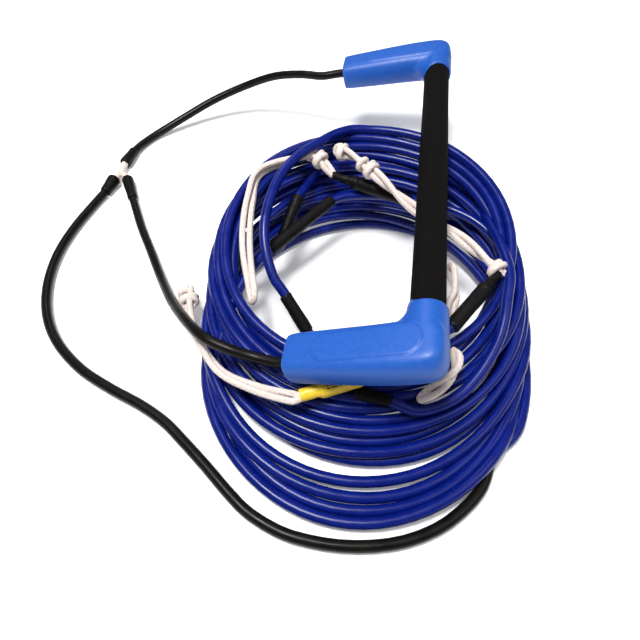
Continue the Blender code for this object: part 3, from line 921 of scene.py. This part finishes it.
def relax(p, there, under):
    """Pushes turns apart where they touch and up over what lies under them, off the floor."""
    start = p.copy()
    in_coil = np.arange(len(p)) > LOWER_JOIN * TURN_POINTS
    for step in range(RELAX_STEPS):
        move = np.zeros_like(p)
        for k in range(1, math.ceil(TURNS)):
            for shift in range(-RELAX_REACH, RELAX_REACH + 1):
                offset = k * TURN_POINTS + shift
                if offset >= len(p):
                    continue
                d = p[offset:] - p[:-offset]
                dist = np.linalg.norm(d, axis=1)
                push = np.clip(TURN_GAP - dist, 0, None) * RELAX_PUSH * there[offset:] * there[:-offset]
                away = d / np.maximum(dist, 1e-6)[:, None] * push[:, None]
                move[:-offset] -= away
                move[offset:] += away
        for q in under:
            dist = np.linalg.norm(p - q, axis=1)
            touching = (dist < TURN_GAP) & in_coil
            move[touching, 2] += RELAX_LIFT * (TURN_GAP - dist[touching])
        far = np.linalg.norm(move, axis=1)
        move *= np.minimum(1.0, RELAX_MOST / np.maximum(far, 1e-9))[:, None]
        drift = p + move - start
        drift[1:-1] += RELAX_EVEN * (drift[:-2] + drift[2:] - 2 * drift[1:-1])
        if step < RELAX_STEPS - FREE_STEPS:
            drift *= RELAX_RETURN
        p = start + drift
        p[:, 2] = np.maximum(p[:, 2], LINE_RADIUS + 0.0002)
    return p


def blue_line(name, points, *nodes):
    line = sweep(name, points, coated(LINE_RADIUS, 0.014, 0.010), looks["blue_line"], 12)
    declare(line, "line", "blue_line", *nodes)


def coil_stretch(points, start, end, head, tail):
    """The coil's points between two counts of turns, with a listed way in and out."""
    middle = points[round(start * TURN_POINTS) : round(end * TURN_POINTS) + 1]
    way_in = smooth_route([*(place(*p) for p in head), middle[0], middle[6]], WAY_STEP)
    way_out = smooth_route([middle[-7], middle[-1], *(place(*p) for p in tail)], WAY_STEP)
    first = next(i for i, p in enumerate(way_in) if (p - middle[0]).length < SAME_PLACE)
    last = next(i for i, p in enumerate(way_out) if (p - middle[-1]).length < SAME_PLACE)
    return [*way_in[:first], *middle, *way_out[last + 1 :]]


def make_coil():
    points = [place(*q) for q in coil_points()]
    lower = coil_stretch(points, LOWER_JOIN, LEAVES_LOWER, LOWER_HEAD, LOWER_TAIL)
    blue_line("lower_coil_line", lower, "lower_coil")
    middle = coil_stretch(points, JOINS_MIDDLE, LEAVES_MIDDLE, MIDDLE_HEAD, MIDDLE_TAIL)
    blue_line("middle_coil_line", middle, "middle_coil")
    upper = coil_stretch(points, JOINS_UPPER, TURNS, UPPER_HEAD, UPPER_TAIL)
    blue_line("upper_coil_line", upper, "upper_coil", "drop_line")
    blue_line("ribbed_sleeve_line", ribbed_route(points))


def ribbed_route(points):
    """Off one turn of the coil, straight through the ribbed sleeve, and on to another turn."""
    leaves, joins = (
        min(range(len(points)), key=lambda i: (points[i] - place(*where)).length) for where in RIBBED_WALL
    )
    top, foot = (place(*p) for p in SLEEVES["ribbed_sleeve"][:2])
    inside = [top.lerp(foot, quarter / 4) for quarter in range(5)]
    return smooth_route([*points[leaves - 3 : leaves + 1], *inside, *points[joins : joins + 4]], 0.005)


# ---- Sleeves, loops and knots -----------------------------------------------------------------
def rolled_rim(edge):
    """How much a sleeve's radius shrinks this close to its end."""
    return 0.90 + 0.10 * ease(edge / 0.0012)


def shrink_sleeve(name, start, end, big, small, necked):
    """Heat-shrunk tube over a splice, with rolled rims, soft ridges and, if necked, a stepped neck."""
    a, b = place(*start), place(*end)
    length = (b - a).length
    count = max(14, round(length / 0.0011))
    points = [a.lerp(b, i / count) for i in range(count + 1)]
    step = small * 1.25  # the neck's first, wider step

    def size(along, angle):
        t = along / length
        if necked:
            r = big + (step - big) * ease((t - 0.70) / 0.07)
            r += (small - step) * ease((t - 0.82) / 0.04)
            r += 0.0005 * math.exp(-(((t - 0.70) / 0.02) ** 2))
        else:
            r = big + (small - big) * ease((t - 0.15) / 0.7)
        if name == "ribbed_sleeve":
            r *= 1 + 0.04 * math.cos(2 * math.pi * along / 0.0042)
        edge = min(t, 1 - t) * length
        r *= rolled_rim(edge)
        ridges = 0.020 * math.sin(2 * angle + 190 * along) + 0.012 * math.sin(5 * angle - 420 * along + 1.0)
        wrinkles = 0.010 * math.sin(900 * along + 2 * math.sin(angle)) * ease(edge / 0.006)
        return r * (0.985 + ridges * 0.6 + wrinkles * 0.6)

    piece = sweep(name + "_shrunk", points, size, looks["black_shrink"], 24)
    declare(piece, "line", "black_shrink", name)


def make_sleeves():
    for name, values in SLEEVES.items():
        shrink_sleeve(name, *values)
    arms = (("y_core_braid", Y_CORE, 0.0043, ["y_core"]), ("y_core_arm", Y_BRANCH, 0.0038, []))
    for name, route, radius, nodes in arms:
        points = smooth_route([place(*p) for p in route], 0.0012)
        arm = sweep(name, points, braid(radius, 0.10), looks["white_braid"], 16)
        declare(arm, "line", "white_braid", *nodes)


def warning_radius(along, angle, length):
    """Narrow neck at the loop's end, then full, then a long taper, a little flattened."""
    t = 1 - along / length  # 0 at the loop's end
    r = 0.0054 + 0.0022 * ease((t - 0.10) / 0.05) - 0.0026 * ease((t - 0.22) / 0.75)
    r *= rolled_rim(min(t, 1 - t) * length)
    return r * (1 + 0.012 * math.sin(3 * angle + 150 * along) + 0.006 * math.sin(500 * along))


def make_warning_sleeve():
    a, b = (place(*p) for p in WARNING_SLEEVE)
    length = (b - a).length
    points = [a.lerp(b, i / WARNING_STEPS) for i in range(WARNING_STEPS + 1)]

    def size(along, angle):
        return warning_radius(along, angle, length)

    piece = sweep("warning_sleeve_shrunk", points, size, looks["yellow_shrink"], 32)
    declare(piece, "line", "yellow_shrink", "warning_sleeve")
    make_marks(a, b, length)


WARNING_STEPS = 110
MARK_THICK = 0.00010
MARK_LIFT = 0.00012  # above the sleeve's own surface
MARK_PARTS = 4  # faces along and across a mark
MARK_GAP = 0.008
MARKS_END = 0.88
LAST_DASH = 0.86  # no dash starts beyond this
MARK_SQUARE = (0.165, 0.225, 0.10, 0.75)  # start, end, low and high angle
# Rows of dashes: their low and high angle.
MARK_ROWS = ((0.42, 0.62), (0.20, 0.27), (-0.12, 0.0), (-0.38, -0.27), (-0.66, -0.55))
DASHES = (0.030, 0.017, 0.041, 0.024, 0.035)
HEADLINE_DASHES = 3
RULE = 0.30  # the second row is one long rule


def dashes(row):
    """Where each dash of a row starts and ends, as shares of the sleeve's length."""
    x = 0.25 if row < 2 else 0.17
    word = 0
    found = []
    while x < LAST_DASH:
        size = RULE if row == 1 else DASHES[(word + 2 * row) % len(DASHES)]
        found.append((x, min(x + size, MARKS_END)))
        x += size + MARK_GAP
        word += 1
        if row == 1 or (row == 0 and word == HEADLINE_DASHES):
            break
    return found


def make_marks(a, b, length):
    """Blank print on the warning sleeve: a square and rows of dashes that spell nothing."""
    tangent = (b - a).normalized()
    normal = tangent.cross(Vector((0.0, 0.0, 1.0))).normalized()
    side = tangent.cross(normal)
    bm = bmesh.new()

    def patch(start, end, low, high):
        rows = []
        for i in range(MARK_PARTS + 1):
            along = length * (1 - (start + (end - start) * i / MARK_PARTS))
            row = []
            for j in range(MARK_PARTS + 1):
                angle = low + (high - low) * j / MARK_PARTS
                away = normal * math.cos(angle) + side * math.sin(angle)
                r = warning_radius(along, angle, length) + MARK_LIFT
                row.append(bm.verts.new(a + tangent * along + away * r))
            rows.append(row)
        for u, v in zip(rows, rows[1:]):
            for j in range(MARK_PARTS):
                bm.faces.new((u[j], u[j + 1], v[j + 1], v[j]))

    up = -math.pi / 2 if side.z < 0 else math.pi / 2
    start, end, low, high = MARK_SQUARE
    patch(start, end, up + low, up + high)
    for row, (low, high) in enumerate(MARK_ROWS):
        for start, end in dashes(row):
            patch(start, end, up + low, up + high)
    marks = mesh_object("warning_marks", bm, looks["black_ink"])
    thick = marks.modifiers.new("ink", "SOLIDIFY")
    thick.thickness = MARK_THICK
    thick.offset = -1.0
    settle(marks)
    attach(marks, "line")


def loop_middle(name):
    return smooth_route([place(*p) for p in LOOPS[name][0]], 0.002)


def loop_route(middle, spread, twist):
    """Out along one strand, round the end and back along the other, the two twisted together."""
    out, back = [], []
    along = 0.0
    total = route_length(middle)
    for i, p in enumerate(middle):
        tangent = (middle[min(i + 1, len(middle) - 1)] - middle[max(i - 1, 0)]).normalized()
        if i:
            along += (p - middle[i - 1]).length
        across = Vector((-tangent.y, tangent.x, 0.0)).normalized()
        angle = 2 * math.pi * twist * along
        away = across * math.cos(angle) + tangent.cross(across) * math.sin(angle)
        away *= spread * (0.35 + 0.65 * ease(along / 0.008) + 0.5 * ease(1 - (total - along) / 0.02))
        out.append(p + away)
        back.append(p - away)
    onward = (middle[-1] - middle[-2]).normalized() * away.length
    turns = (math.pi * i / 6 for i in range(1, 6))
    tip = [middle[-1] + away * math.cos(turn) + onward * math.sin(turn) for turn in turns]
    return [*out, *tip, *back[::-1]]


def white_braid(name, points, radius, sides):
    return sweep(name, points, braid(radius, 0.10, 8, 0.008), looks["white_braid"], sides)


def make_loops():
    knots = {name: [] for name in LOOPS}
    for index, (name, share, wraps) in enumerate(KNOTS):
        knots[name].append(wrap_knot(f"{name}_knot_{index}", loop_middle(name), share, wraps))
    for name, (middle, spread) in LOOPS.items():
        middle = smooth_route([place(*p) for p in middle], 0.004)
        points = smooth_route(loop_route(middle, spread, TWISTS[name]), 0.0011)
        rope = white_braid(name + "_braid", points, CORD_RADIUS, 16)
        declare(rope, "line", "white_braid", name)


KNOT_STEPS = 26  # points in each wrap
KNOT_WIDE = 0.0074
KNOT_TALL = 0.0052
KNOT_PITCH = 0.0060
KNOT_WANDER = 0.0022
KNOT_TUCK = 0.12  # the share of a knot's strand, at each end, that is tucked in


def wrap_knot(name, middle, share, wraps):
    """A strand wound round the loop's two strands, drawn up tight, with its ends tucked in."""
    at = min(len(middle) - 3, max(2, round(share * (len(middle) - 1))))
    centre = middle[at]
    axis = (middle[at + 1] - middle[at - 1]).normalized()
    normal = axis.cross(Vector((0.0, 0.0, 1.0))).normalized()
    side = axis.cross(normal)
    points = []
    count = wraps * KNOT_STEPS
    for i in range(count + 1):
        t = i / count
        angle = 2 * math.pi * wraps * t
        tuck = 1 - 0.55 * (1 - ease(t / KNOT_TUCK)) - 0.55 * (1 - ease((1 - t) / KNOT_TUCK))
        slide = (t - 0.5) * wraps * KNOT_PITCH + KNOT_WANDER * math.sin(angle * 0.5)
        across = normal * KNOT_WIDE * tuck * math.cos(angle) + side * KNOT_TALL * tuck * math.sin(angle)
        points.append(centre + axis * slide + across)
    knot = white_braid(name, points, CORD_RADIUS * 0.97, 14)
    declare(knot, "line", "white_braid")
    return knot


looks = make_looks()
make_camera()
make_stage()
make_cap("near_cap", -1)
make_cap("far_cap", 1)
make_grip()
make_tube()
make_bush("near_tube_bush", -1)
make_bush("far_tube_bush", 1)
make_core_rope()
make_legs()
make_trunk()
make_coil()
make_sleeves()
make_warning_sleeve()
make_loops()
